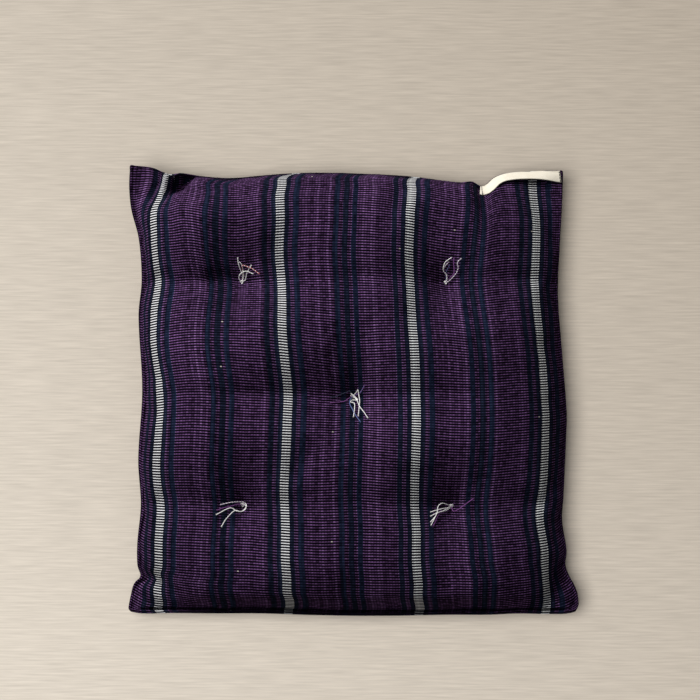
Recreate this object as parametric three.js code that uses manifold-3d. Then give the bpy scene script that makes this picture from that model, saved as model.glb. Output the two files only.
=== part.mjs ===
// A square filled cushion lying on its back. Its cotton cover is sewn along four edges and drawn in by five
// thread ties, and a bare woven tape is sewn to the top edge near the right corner.
// Millimetres, +Z up. Seen looking down on the face, +X is to the right and +Y towards the top edge.
// The origin is on the floor, under the middle of the outline.
import * as THREE from "three";
import { mergeVertices } from "three/addons/utils/BufferGeometryUtils.js";
import Module from "manifold-3d";

// Driving dimensions of the filled cover
const SEAM_HEIGHT = 27; // the edge seam above the floor
const SEAM_THICKNESS = 2.4; // the turned cloth in the seam
const SEAM_WIDTH = 4.3; // the flat rim that the turned cloth makes
const SIDE = 445; // the even side that shares of the panel are worked out on
const FACE_RISE = 46; // the face above the seam where it is fullest
const BACK_DROP = 46; // how far the back would hang below the seam if no floor stopped it
const FLOOR_BLEND = 7; // the back turns this softly onto the floor
const CROWN_FLATNESS = 3.6; // a larger number keeps the crown flat further out
const EDGE_ROUNDNESS = 0.46; // a smaller number makes the cover steeper at its seam
const GRID = 48; // cells along each side of a panel
// Cells crowd towards the seam and the ties, where the cover turns most: share of the panel's width or
// height, how far the crowd spreads, and how strong it is
const CROWDS = [
  { at: 0, spread: 0.06, strength: 1.6 },
  { at: 0.25, spread: 0.04, strength: 0.8 },
  { at: 0.48, spread: 0.04, strength: 0.6 },
  { at: 0.735, spread: 0.04, strength: 0.8 },
  { at: 1, spread: 0.06, strength: 1.6 },
];

// Corners of the seam: place in plan, how far each ear stands above or below the seam, how round it is, the
// share of the crown that it lacks at its point, and how far that reaches
const CORNERS = {
  bottomLeft: { x: -219.0, y: -220.6, lift: -4, round: 7, flat: 0.75, reach: 42 },
  bottomRight: { x: 223.7, y: -217.9, lift: -5, round: 9, flat: 0.75, reach: 42 },
  topLeft: { x: -223.7, y: 225.1, lift: 9, round: 2.5, flat: 0.9, reach: 55 },
  topRight: { x: 213.4, y: 222.0, lift: 1, round: 2.5, flat: 0.85, reach: 55 },
};

// How far each edge is drawn in from the straight line between its corners, at fractions of its length.
// Left and right edges run from bottom to top, bottom and top edges from left to right.
const EDGES = {
  left: {
    at: [0, 0.035, 0.062, 0.076, 0.1, 0.15, 0.235, 0.335, 0.49, 0.66, 0.74, 0.835, 0.9, 0.95, 1],
    inset: [0, 3, 6.5, 12.5, 9.5, 9.3, 12.5, 9.6, 13, 8.8, 11.6, 8.5, 1.2, -0.9, 0],
  },
  right: {
    at: [0, 0.03, 0.05, 0.077, 0.097, 0.13, 0.197, 0.25, 0.38, 0.44, 0.58, 0.71, 0.82, 0.92, 1],
    inset: [0, 0.6, 3.4, 9.4, 12, 10.5, 13.9, 11.7, 7, 5.4, 7.8, 9.8, 6.3, 2.3, 0],
  },
  bottom: {
    at: [0, 0.03, 0.1, 0.2, 0.3, 0.4, 0.5, 0.6, 0.7, 0.8, 0.86, 0.93, 0.97, 0.99, 1],
    inset: [0, -2.4, -2.3, -2.9, -3.2, -4.9, -6, -6.2, -5.6, -5.8, -4.8, -5.4, -5.2, -3.4, 0],
  },
  top: {
    at: [0, 0.05, 0.09, 0.118, 0.17, 0.235, 0.34, 0.42, 0.52, 0.64, 0.76, 0.79, 0.813, 0.84, 0.865, 0.93, 1],
    inset: [0, 1.8, 7.6, 6.2, 9, 10, 5.8, 4, 4.5, 6.9, 12.9, 12, 16.8, 7.8, 3.6, 1.1, 0],
  },
};
const EDGE_REACH = 0.16; // an edge's own waves die out over this share of the cushion
const DRAW_IN = 9; // the part of the draw-in that the whole panel shares

// The five ties: place in plan, share of the crown that each takes away, and how far its dimple reaches
const TIES = [
  { name: "tie_top_left", x: -110.5, y: 107.4, pull: 0.8, reach: 27 },
  { name: "tie_top_right", x: 94.0, y: 106.4, pull: 0.76, reach: 27 },
  { name: "tie_centre", x: 0.5, y: -8.6, pull: 0.78, reach: 26 },
  { name: "tie_bottom_left", x: -108.0, y: -116.6, pull: 0.78, reach: 27 },
  { name: "tie_bottom_right", x: 98.0, y: -117.6, pull: 0.78, reach: 27 },
];
const DIMPLE_ROUND = 3; // rounds the point of each dimple
const BACK_DIMPLE = { rise: 10, reach: 42 };

// Soft valleys that the ties draw across the face: height on the cushion, the stretch they cover, the share
// of the crown that they take away, and their reach above and below the line
const VALLEYS = [
  { y: 107.4, fromX: -225, toX: 225, pull: 0.2, above: 24, below: 34 },
  { y: 107.4, fromX: -225, toX: -60, pull: 0.14, above: 30, below: 26 },
  { y: -8.6, fromX: -150, toX: 110, pull: 0.2, above: 24, below: 34 },
  { y: -117.6, fromX: -225, toX: 225, pull: 0.2, above: 24, below: 34 },
];
const VALLEY_END = 60; // a valley fades out over this length
const VALLEY_ROUND = 2; // rounds the bottom of each valley

// Below the tape the cloth is slacker: where that starts and is full, and how much rounder it is
const SLACK = { from: 0.8, full: 0.86, roundness: 0.5 };

// Single folds: a trough where depth is positive and a ridge where it is negative
const FOLDS = [
  { name: "top left ear, ridge", fromX: -187, fromY: 223.4, toX: -205, toY: 177.4, depth: -6, width: 8 },
  { name: "top left ear, crease", fromX: -170, fromY: 220.4, toX: -185, toY: 177.4, depth: 13, width: 7 },
  { name: "crease below the tape", fromX: 131, fromY: 209.4, toX: 134, toY: 166.4, depth: 8, width: 8 },
  { name: "bottom left ear, crease", fromX: -207, fromY: -186.6, toX: -168, toY: -204.6, depth: 6, width: 7 },
  { name: "bottom right ear, crease", fromX: 213, fromY: -176.6, toX: 180, toY: -194.6, depth: 5, width: 9 },
  { name: "slack fold by the top edge", fromX: 56, fromY: 206.4, toX: 28, toY: 151.4, depth: 3, width: 9 },
  { name: "swell over a tie", fromX: -95, fromY: 157.4, toX: -180, toY: 165.4, depth: -9, width: 27 },
  { name: "swell under a tie", fromX: -92, fromY: 63.4, toX: -104, toY: 31.4, depth: -7, width: 27 },
];

// The thread of the ties
const THREAD = 1.3; // thickness of a strand
const KNOT = 2.3; // radius of a knot
const SEAT_GAP = 0.4; // between the cloth and what lies on it
const STRAND_STEPS = 6;

// The free ends of each tie. Each row of numbers is a point of a strand: right and up from the knot in plan,
// and height above the cloth there.
const STRANDS = {
  tie_top_left: [
    [[0, 0, 2], [0.5, 6, 5], [0, 13, 6], [-3, 17, 6], [-5.2, 23.5, 5]],
    [[0, 0, 2], [-3.4, 5, 5], [-1.5, 9, 6], [2.5, 10.6, 6], [10.8, 9, 5]],
    [[0, 0, 2], [2.6, 6, 5], [4.6, 11, 6], [8.2, 17, 5]],
    [[0, 0, 2], [1, 8, 5], [5, 15.6, 6], [11, 12.6, 5], [16.8, 7.8, 3]],
  ],
  tie_top_right: [
    [[0, 0, 2], [-3, 8, 5], [-3.2, 15, 6], [0.6, 21.5, 7], [5.2, 24.5, 5]],
    [[0, 0, 2], [6, 3.6, 5], [11.6, 10.6, 6], [11.4, 18, 6], [13.8, 23.5, 5]],
    [[0, 0, 2], [3.4, 7, 4], [8.4, 14, 5], [8.6, 21, 5]],
  ],
  tie_centre: [
    [[0, 0, 2], [-3, 6, 5], [1.6, 2, 7], [-2.2, -4, 7], [0.6, -9, 6], [-0.6, -16, 4]],
    [[0, 0, 2], [3.8, 9, 6], [5, 2, 7], [5.4, -5, 6], [4, -14, 4]],
    [[0, 0, 2], [4, -3, 6], [8.4, -9, 5], [13, -16.6, 3]],
    [[0, 0, 2], [-3.6, -2, 4], [-1, -11, 4], [6.6, -20, 3]],
    [[0, 0, 2], [6.4, 8, 4], [10.2, 16.6, 3]],
  ],
  tie_bottom_left: [
    [[0, 0, 2], [-8, 4, 5], [-21, 1.6, 4]],
    [[0, 0, 2], [4.6, 0.4, 5], [4, -5, 6], [-3, -7, 6], [-12, -4, 5], [-24, -9.6, 3]],
    [[0, 0, 2], [-3, -6.4, 6], [-12.6, -12.6, 5], [-20, -21.4, 3]],
  ],
  tie_bottom_right: [
    [[0, 0, 2], [-8, 3.6, 6], [-15, 0, 6], [-22.6, -3.6, 4]],
    [[0, 0, 2], [-7, -1.4, 5], [-14, -3.6, 5], [-23, -7.2, 3]],
    [[0, 0, 2], [-10, -2.6, 7], [-18, -9.4, 5], [-22, -17, 3]],
    [[0, 0, 2], [-12, -5, 6], [-18.6, -14.6, 3]],
    [[0, 0, 2], [5.6, -2, 4], [12, 2.6, 5], [20, 10.4, 4]],
  ],
};

// The tape: its stretch of the top edge as fractions, its width and thickness, how far in from the edge it
// starts, how far it stands off the cloth at least, and the cells along and across it
const TAPE = {
  from: 0.809,
  to: 0.992,
  width: 12,
  thickness: 1,
  inset: 0.8,
  lift: 0.5,
  stations: 20,
  across: 4,
};
// How far the tape tilts up from flat, at fractions of its length from the left
const TAPE_TILT = { at: [0, 0.15, 0.4, 0.65, 0.85, 1], degrees: [30, 38, 43, 40, 28, 6] };

// A smooth line through a table, with a slope at each row taken from its neighbours
function smoothTable(at, value, where) {
  const last = at.length - 1;
  let i = 0;
  while (i < last - 1 && where > at[i + 1]) i += 1;
  const slope = (k) => {
    const before = Math.max(k - 1, 0);
    const after = Math.min(k + 1, last);
    return (value[after] - value[before]) / (at[after] - at[before]);
  };
  const span = at[i + 1] - at[i];
  const q = THREE.MathUtils.clamp((where - at[i]) / span, 0, 1);
  const q2 = q * q;
  const q3 = q2 * q;
  return (
    (2 * q3 - 3 * q2 + 1) * value[i] +
    (q3 - 2 * q2 + q) * span * slope(i) +
    (3 * q2 - 2 * q3) * value[i + 1] +
    (q3 - q2) * span * slope(i + 1)
  );
}

const insetOf = (side, where) => smoothTable(EDGES[side].at, EDGES[side].inset, where);

// Draw-in at a distance from an edge: the shared part dies out at the middle, the edge's own waves soon
function reachIn(inset, where, distance) {
  const shared = DRAW_IN * Math.sin(Math.PI * where) ** 0.5;
  const far = Math.max(0, 1 - 2 * distance);
  return shared * far + (inset - shared) * Math.exp(-((distance / EDGE_REACH) ** 2));
}

// s and t, with the corners of their square rounded off
function rounded(s, t) {
  let place = [s, t];
  Object.entries(CORNERS).forEach(([name, corner]) => {
    const share = corner.round / SIDE;
    const right = name.endsWith("Right");
    const top = name.startsWith("top");
    const u = 1 - (right ? 1 - s : s) / share;
    const v = 1 - (top ? 1 - t : t) / share;
    if (u <= 0 || v <= 0) return;
    const across = (1 - u * Math.sqrt(1 - v ** 2 / 2)) * share;
    const up = (1 - v * Math.sqrt(1 - u ** 2 / 2)) * share;
    place = [right ? 1 - across : across, top ? 1 - up : up];
  });
  return place;
}

// Plan place of a point of a panel. s runs from the left edge to the right one, t from the bottom to the top.
function plan(acrossPanel, upPanel) {
  const [s, t] = rounded(acrossPanel, upPanel);
  const c = CORNERS;
  const blend = (key) =>
    (1 - s) * (1 - t) * c.bottomLeft[key] +
    s * (1 - t) * c.bottomRight[key] +
    (1 - s) * t * c.topLeft[key] +
    s * t * c.topRight[key];
  const x = blend("x") + reachIn(insetOf("left", t), t, s) - reachIn(insetOf("right", t), t, 1 - s);
  const y = blend("y") + reachIn(insetOf("bottom", s), s, t) - reachIn(insetOf("top", s), s, 1 - t);
  return { x, y };
}

// How much of the crown stands at a share of the way across, from the inner side of the seam's rim
function fullness(q, roundness) {
  const rim = SEAM_WIDTH / SIDE;
  const inner = THREE.MathUtils.clamp((q - rim) / (1 - 2 * rim), 0, 1);
  return Math.max(0, 1 - Math.abs(2 * inner - 1) ** CROWN_FLATNESS) ** roundness;
}

// The share of the crown that the flat ears leave
function ears(x, y) {
  return Object.values(CORNERS).reduce((share, c) => {
    const away = Math.hypot(x - c.x, y - c.y) / c.reach;
    return share * (1 - c.flat * Math.exp(-(away ** 2)));
  }, 1);
}

function cornerLift(s, t) {
  const near = (q) => Math.max(0, 1 - q / 0.25) ** 2;
  const c = CORNERS;
  return (
    near(s) * near(t) * c.bottomLeft.lift +
    near(1 - s) * near(t) * c.bottomRight.lift +
    near(s) * near(1 - t) * c.topLeft.lift +
    near(1 - s) * near(1 - t) * c.topRight.lift
  );
}

const seamHeight = (s, t) => SEAM_HEIGHT + cornerLift(s, t);

const distanceTo = (tie, x, y) => Math.hypot(x - tie.x, y - tie.y, DIMPLE_ROUND) - DIMPLE_ROUND;

const dimple = (tie, x, y) => tie.pull * Math.exp(-distanceTo(tie, x, y) / tie.reach);

function valley(v, x, y) {
  const off = y - v.y;
  const away = Math.hypot(off, VALLEY_ROUND) - VALLEY_ROUND;
  const across = Math.exp(-away / (off > 0 ? v.above : v.below));
  const ramp = (q) => THREE.MathUtils.smoothstep(q, -VALLEY_END, VALLEY_END);
  return v.pull * across * ramp(x - v.fromX) * ramp(v.toX - x);
}

// How far a fold moves the cloth down, from the distance to its line. It fades at both ends.
function fold(f, x, y) {
  const dx = f.toX - f.fromX;
  const dy = f.toY - f.fromY;
  const length = Math.hypot(dx, dy);
  const along = ((x - f.fromX) * dx + (y - f.fromY) * dy) / length;
  const across = ((x - f.fromX) * dy - (y - f.fromY) * dx) / length;
  const beyond = Math.max(0, -along, along - length);
  const fade = 1 - 0.6 * THREE.MathUtils.clamp(along / length, 0, 1);
  return f.depth * fade * Math.exp(-((across / f.width) ** 2) - (beyond / f.width) ** 2);
}

function faceHeight(s, t) {
  const { x, y } = plan(s, t);
  const { smoothstep } = THREE.MathUtils;
  const slack = SLACK.roundness * smoothstep(s, SLACK.from, SLACK.full) * smoothstep(t, 0.5, 0.9);
  const full = fullness(s, EDGE_ROUNDNESS) * fullness(t, EDGE_ROUNDNESS + slack);
  let crown = FACE_RISE * full * ears(x, y);
  TIES.forEach((tie) => (crown *= 1 - dimple(tie, x, y)));
  VALLEYS.forEach((v) => (crown *= 1 - valley(v, x, y)));
  const folds = FOLDS.reduce((sum, f) => sum + fold(f, x, y), 0);
  const rimmed = Math.min(1, full / 0.12);
  return seamHeight(s, t) + SEAM_THICKNESS / 2 + Math.max(0, crown - folds * rimmed);
}

function backHeight(s, t) {
  const { x, y } = plan(s, t);
  const full = fullness(s, EDGE_ROUNDNESS) * fullness(t, EDGE_ROUNDNESS);
  const free = seamHeight(s, t) - SEAM_THICKNESS / 2 - BACK_DROP * full * ears(x, y);
  const k = FLOOR_BLEND;
  const settled = free > k ? free : free < -k ? 0 : (free + k) ** 2 / (4 * k);
  const lifted = TIES.map((tie) => Math.max(0, 1 - distanceTo(tie, x, y) / BACK_DIMPLE.reach) ** 2);
  return settled + BACK_DIMPLE.rise * Math.max(...lifted);
}

const facePoint = (s, t) => new THREE.Vector3(plan(s, t).x, plan(s, t).y, faceHeight(s, t));

const backPoint = (s, t) => new THREE.Vector3(plan(s, t).x, plan(s, t).y, backHeight(s, t));

// Grid lines at equal steps of a count that rises faster where the cells crowd, with one on the inner side of
// the seam's rim
function gridLines() {
  const fine = 2000;
  const density = (q) =>
    1 + CROWDS.reduce((sum, c) => sum + c.strength * Math.exp(-(((q - c.at) / c.spread) ** 2)), 0);
  const count = [0];
  for (let i = 0; i < fine; i += 1) count.push(count[i] + density((i + 0.5) / fine));
  const lines = [0];
  for (let i = 1; i < GRID; i += 1) {
    lines.push(count.findIndex((c) => c >= (count[fine] * i) / GRID) / fine);
  }
  lines[1] = SEAM_WIDTH / SIDE;
  lines[GRID - 1] = 1 - SEAM_WIDTH / SIDE;
  return [...lines, 1];
}

// A closed skin of two sheets of points, counterclockwise seen from outside, joined around their rims
function closedSkin(columns, rows, upper, lower) {
  const points = [];
  const faces = [];
  const index = (sheet, i, j) => sheet * (columns + 1) * (rows + 1) + j * (columns + 1) + i;
  [upper, lower].forEach((place) => {
    for (let j = 0; j <= rows; j += 1) {
      for (let i = 0; i <= columns; i += 1) points.push(...place(i, j).toArray());
    }
  });
  const quad = (a, b, c, d) => faces.push(a, b, c, a, c, d);
  for (let j = 0; j < rows; j += 1) {
    for (let i = 0; i < columns; i += 1) {
      quad(index(0, i, j), index(0, i + 1, j), index(0, i + 1, j + 1), index(0, i, j + 1));
      quad(index(1, i, j), index(1, i, j + 1), index(1, i + 1, j + 1), index(1, i + 1, j));
    }
  }
  for (let i = 0; i < columns; i += 1) {
    quad(index(1, i, 0), index(1, i + 1, 0), index(0, i + 1, 0), index(0, i, 0));
    quad(index(0, i, rows), index(0, i + 1, rows), index(1, i + 1, rows), index(1, i, rows));
  }
  for (let j = 0; j < rows; j += 1) {
    quad(index(0, 0, j), index(0, 0, j + 1), index(1, 0, j + 1), index(1, 0, j));
    quad(index(1, columns, j), index(1, columns, j + 1), index(0, columns, j + 1), index(0, columns, j));
  }
  const geometry = new THREE.BufferGeometry();
  geometry.setAttribute("position", new THREE.Float32BufferAttribute(points, 3));
  geometry.setIndex(faces);
  return geometry;
}

function cushionGeometry() {
  const line = gridLines();
  const upper = (i, j) => facePoint(line[i], line[j]);
  const lower = (i, j) => backPoint(line[i], line[j]);
  return closedSkin(GRID, GRID, upper, lower);
}

// The height of the face of the cushion at a place in plan, or of the floor beside it
function clothHeight(cushion, x, y) {
  const ray = new THREE.Raycaster(new THREE.Vector3(x, y, 1000), new THREE.Vector3(0, 0, -1));
  const [hit] = ray.intersectObject(cushion);
  return hit ? hit.point.z : 0;
}

const overCloth = (cushion, x, y, up) => new THREE.Vector3(x, y, clothHeight(cushion, x, y) + up);

// A four-sided strand that follows the cloth along a smooth line through its rows
function strandGeometry(cushion, tie, rows) {
  const steps = STRAND_STEPS * (rows.length - 1);
  const line = new THREE.CatmullRomCurve3(rows.map((row) => new THREE.Vector3(...row))).getPoints(steps);
  const points = line.map((p) => overCloth(cushion, tie.x + p.x, tie.y + p.y, Math.max(p.z, THREAD)));
  const section = new THREE.Shape();
  const r = THREE.MathUtils.clamp(THREAD / 2, 0.3, 2);
  section.moveTo(r, 0);
  section.lineTo(0, r);
  section.lineTo(-r, 0);
  section.lineTo(0, -r);
  section.closePath();
  return new THREE.ExtrudeGeometry(section, {
    steps,
    bevelEnabled: false,
    extrudePath: new THREE.CatmullRomCurve3(points),
  });
}

function tapeGeometry(cushion) {
  const place = (i, j, out) => {
    const along = i / TAPE.stations;
    const down = TAPE.width * (1 - j / TAPE.across);
    const s = THREE.MathUtils.lerp(TAPE.from, TAPE.to, along);
    const seam = plan(s, 1);
    const before = plan(s - 0.002, 1);
    const after = plan(s + 0.002, 1);
    const run = new THREE.Vector2(after.x - before.x, after.y - before.y).normalize();
    const tilt = THREE.MathUtils.degToRad(smoothTable(TAPE_TILT.at, TAPE_TILT.degrees, along));
    const reach = (TAPE.inset + down) * Math.cos(tilt);
    const point = new THREE.Vector3(seam.x + run.y * reach, seam.y - run.x * reach, 0);
    const rise = down * Math.sin(tilt) + 0.5 * Math.sin((Math.PI * down) / TAPE.width);
    const cloth = clothHeight(cushion, point.x, point.y) + TAPE.lift;
    point.z = Math.max(seamHeight(s, 1) + SEAM_THICKNESS / 2 + TAPE.lift + rise, cloth);
    const outward = new THREE.Vector3(-run.y * Math.sin(tilt), run.x * Math.sin(tilt), Math.cos(tilt));
    return point.addScaledVector(outward, out);
  };
  return closedSkin(
    TAPE.stations,
    TAPE.across,
    (i, j) => place(i, j, TAPE.thickness),
    (i, j) => place(i, j, 0),
  );
}

const wasm = await Module();
wasm.setup();

function toSolid(geometry) {
  const bare = new THREE.BufferGeometry();
  bare.setAttribute("position", geometry.getAttribute("position"));
  bare.setIndex(geometry.index);
  const merged = mergeVertices(bare, 1e-3);
  return new wasm.Manifold(
    new wasm.Mesh({
      numProp: 3,
      vertProperties: merged.attributes.position.array,
      triVerts: new Uint32Array(merged.index.array),
    }),
  );
}

function toGeometry(solid) {
  const made = solid.getMesh();
  const geometry = new THREE.BufferGeometry();
  geometry.setAttribute("position", new THREE.Float32BufferAttribute(made.vertProperties, 3));
  geometry.setIndex(new THREE.BufferAttribute(made.triVerts, 1));
  return geometry;
}

// Cuts away what would reach into the cushion or closer to it than the seat gap
function seatOn(cushion, solid) {
  const raised = cushion.geometry.clone().translate(0, 0, SEAT_GAP);
  return toGeometry(solid.subtract(toSolid(raised)));
}

// A tie: its knot in the dimple and its free ends
function tieGeometry(tie, cushion) {
  const knot = new THREE.IcosahedronGeometry(KNOT, 1);
  knot.translate(...overCloth(cushion, tie.x, tie.y, KNOT * 0.6));
  const strands = STRANDS[tie.name].map((rows) => toSolid(strandGeometry(cushion, tie, rows)));
  return seatOn(cushion, strands.reduce((sum, strand) => sum.add(strand), toSolid(knot)));
}

const clothMaterial = new THREE.MeshStandardMaterial({ color: 0x3a2450, roughness: 0.9, metalness: 0 });
const threadMaterial = new THREE.MeshStandardMaterial({ color: 0xcfcabd, roughness: 0.85, metalness: 0 });
const tapeMaterial = new THREE.MeshStandardMaterial({ color: 0xe6dcc6, roughness: 0.85, metalness: 0 });

const part = new THREE.Group();

function addNode(name, geometry, material) {
  const mesh = new THREE.Mesh(geometry, material);
  mesh.name = name;
  part.add(mesh);
  return mesh;
}

const cushion = addNode("cushion", cushionGeometry(), clothMaterial);
addNode("tape", seatOn(cushion, toSolid(tapeGeometry(cushion))), tapeMaterial);
TIES.forEach((tie) => addNode(tie.name, tieGeometry(tie, cushion), threadMaterial));

export default part;
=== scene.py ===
"""A square cushion of warp-striped cotton, lying on its back and seen from above.

The cover is one closed mesh from much the same tables as the solid, with deeper dimples and steeper edges.
Its cloth coordinates, in millimetres from the first white stripe, carry the woven stripes. The ties and the
tape are pieces of their own.
"""

import math

import bpy
import numpy as np
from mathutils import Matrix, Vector
from mathutils.bvhtree import BVHTree


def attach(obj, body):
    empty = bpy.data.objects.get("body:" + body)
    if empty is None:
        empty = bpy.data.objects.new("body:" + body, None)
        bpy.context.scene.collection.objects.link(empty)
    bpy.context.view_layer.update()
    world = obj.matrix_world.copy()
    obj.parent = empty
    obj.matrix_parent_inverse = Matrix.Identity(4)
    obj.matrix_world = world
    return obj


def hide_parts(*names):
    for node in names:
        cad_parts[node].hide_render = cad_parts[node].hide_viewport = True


MM = 0.001

# The filled cover, in millimetres, much as in the solid
SEAM_HEIGHT = 27.0
FACE_RISE = 46.0
BACK_DROP = 46.0
FLOOR_BLEND = 7.0
CROWN_FLATNESS = 3.6
EDGE_ROUNDNESS = 0.46
# The right half falls off more roundly towards its edge
RIGHT_ROUNDNESS = 0.58
# How many cells a panel has each way, how finely their spacing is summed, and where they crowd: the place,
# how wide and how strongly
GRID = 200
GRID_SUM = 4001
CROWDS = [
    (0.0, 0.03, 3.0), (0.0, 0.007, 8.0), (0.25, 0.05, 0.5), (0.48, 0.05, 0.5), (0.735, 0.05, 0.5),
    (1.0, 0.007, 8.0), (1.0, 0.03, 3.0),
]

CORNERS = {
    "bottom_left": {"x": -221.2, "y": -220.6, "lift": -4.0, "round": 4.5},
    "bottom_right": {"x": 223.7, "y": -217.9, "lift": -5.0, "round": 5.0},
    "top_left": {"x": -223.7, "y": 225.1, "lift": 13.0, "round": 2.5},
    "top_right": {"x": 213.4, "y": 222.0, "lift": 1.0, "round": 2.5},
}
CORNER_FADE = 0.25
SIDE = 445.0
# How flat each ear lies: the share of the crown taken away at the corner, how far that reaches, and how
# abruptly it ends
EARS = {
    "bottom_left": {"flat": 0.75, "reach": 42.0, "end": 2.5},
    "bottom_right": {"flat": 0.75, "reach": 42.0, "end": 2.5},
    "top_left": {"flat": 0.85, "reach": 46.0, "end": 4.0},
    "top_right": {"flat": 0.85, "reach": 55.0, "end": 2.0},
}

# How far each edge is drawn in from the straight line between its corners
EDGES = {
    "left": {
        "at": [0, 0.035, 0.062, 0.076, 0.1, 0.15, 0.235, 0.335, 0.49, 0.66, 0.74, 0.835, 0.9, 0.95, 1],
        "inset": [0, 3, 6.5, 12.5, 9.5, 9.3, 12.5, 9.6, 13, 8.8, 11.6, 8.5, 1.2, -0.9, 0],
    },
    "right": {
        "at": [0, 0.03, 0.05, 0.077, 0.097, 0.13, 0.197, 0.25, 0.38, 0.44, 0.58, 0.71, 0.82, 0.92, 1],
        "inset": [0, 0.6, 3.4, 9.4, 12, 10.5, 13.9, 11.7, 7, 5.4, 7.8, 9.8, 6.3, 2.3, 0],
    },
    "bottom": {
        "at": [0, 0.03, 0.1, 0.2, 0.3, 0.4, 0.5, 0.6, 0.7, 0.8, 0.86, 0.93, 0.97, 0.99, 1],
        "inset": [0, -2.4, -2.3, -2.9, -3.2, -4.9, -6, -6.2, -5.6, -5.8, -4.8, -5.4, -5.2, -3.4, 0],
    },
    "top": {
        "at": [
            0, 0.05, 0.09, 0.118, 0.17, 0.235, 0.34, 0.42, 0.52, 0.64, 0.76, 0.79, 0.813, 0.84, 0.865, 0.93, 1
        ],
        "inset": [0, 1.8, 7.6, 6.2, 9, 10, 5.8, 4, 4.5, 6.9, 12.9, 12, 16.8, 7.8, 3.6, 1.1, 0],
    },
}
EDGE_REACH = 0.16
DRAW_IN = 9.0
# The seam stands out as a narrow round lip, with a groove behind it, mainly along the bottom edge
LIP = {"left": 3.2, "right": 2.0, "bottom": 3.2, "top": 1.8, "half": 1.4}
GROOVE = {
    "width": 3.6, "bottom": 5.5, "right": 0.0, "left": 0.8, "top": 0.0,
    # Where it starts on the lip, how much of it the crown keeps clear of, how much deeper it is on the back,
    # and where it opens from each corner
    "start": 0.8, "clear": 0.6, "back": 1.6, "from": 4, "full": 30,
}
# How far painted shadow reaches in from the seam's groove, and how far it does in the middle of two edges
SEAM_SHADOW_REACH = {"line": 0.9, "bottom": 4.0, "top": 2.4, "from": 0.12, "to": 0.68, "soft": 0.05}
# The filling stands in a steep wall over two of the edges: the share of the crown held down at the foot,
# and from where to where
FOOT = {"from": 2, "width": 18.0, "bottom": 0.75, "right": 0.45}

TIES = [
    {"name": "tie_top_left", "x": -110.5, "y": 107.4, "pull": 0.84, "reach": 33.0},
    {"name": "tie_top_right", "x": 94.0, "y": 106.4, "pull": 0.82, "reach": 33.0},
    {"name": "tie_centre", "x": 0.5, "y": -8.6, "pull": 0.82, "reach": 30.0},
    {"name": "tie_bottom_left", "x": -108.0, "y": -116.6, "pull": 0.8, "reach": 29.0},
    {"name": "tie_bottom_right", "x": 98.0, "y": -117.6, "pull": 0.8, "reach": 31.0},
]
DIMPLE_ROUND = 3.0
BACK_DIMPLE = {"rise": 10.0, "reach": 42.0}

VALLEYS = [
    {"y": 107.4, "from_x": -225.0, "to_x": 225.0, "pull": 0.2, "above": 24.0, "below": 34.0},
    {"y": 107.4, "from_x": -225.0, "to_x": -75.0, "pull": 0.4, "above": 19.0, "below": 26.0},
    {"y": -8.6, "from_x": -150.0, "to_x": 110.0, "pull": 0.26, "above": 23.0, "below": 34.0},
    {"y": -117.6, "from_x": -225.0, "to_x": 225.0, "pull": 0.2, "above": 24.0, "below": 34.0},
]
VALLEY_END = 60.0
VALLEY_ROUND = 2.0

# Where the sewn tape holds the cloth flatter along the top edge: across in s, and up in t
SLACK = {"from": 0.8, "full": 0.86, "roundness": 0.5, "up_from": 0.5, "up_full": 0.9}
# The seam's stitches gather the cloth behind the lip, each panel from its own seed
GATHER = {"height": 0.5, "sizes": (8.0, 19.0), "rise": 2.5, "reach": 9.0, "seeds": (5, 105)}

# Each fold's name, start, end, depth and width
FOLDS = [
    ("top left ear, outer ridge", (-199, 216), (-210, 182), -4, 3.5),
    ("top left ear, outer crease", (-194, 221), (-201, 192), 14, 5),
    ("top left ear, ridge", (-185, 220), (-190, 196), -11, 6),
    ("top left ear, pocket", (-168, 221), (-173, 205), 62, 7.5),
    ("top left ear, pocket's end", (-176, 209), (-184, 192), 18, 5),
    ("crease below the tape", (131, 209.4), (134, 166.4), 8, 8),
    ("bottom left ear, crease", (-207, -186.6), (-168, -204.6), 6, 7),
    ("bottom right ear, crease", (211, -179), (194, -212), 10, 9),
    ("slack fold by the top edge", (56, 206.4), (28, 151.4), 3, 9),
    ("tuck beside a tie", (-139, 112), (-118, 109.5), 9, 8),
    ("swell over a tie", (-95, 157.4), (-180, 165.4), -9, 27),
    ("swell under a tie", (-92, 63.4), (-104, 31.4), -7, 27),
]
# How much a fold loses along its length, and how full the crown is where folds are whole
FOLD_FADE = 0.6
FOLD_FULL = 0.12

# The cloth: margins between the seams and the outer white stripes, and the stripes of one repeat
STRIPE_PITCH = 131.5
MARGIN_LEFT = {"bottom": 32.5, "top": 36.5}
# The right margin is narrower along the middle, where the corners don't gather it
MARGIN_RIGHT = {"height": [0, 20, 60, 110, 436, 470, 497], "width": [37, 34.5, 32, 29.5, 30, 33, 34.5]}
CLOTH_HEIGHT = 497.0
CLOTH_EASE = 120
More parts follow.
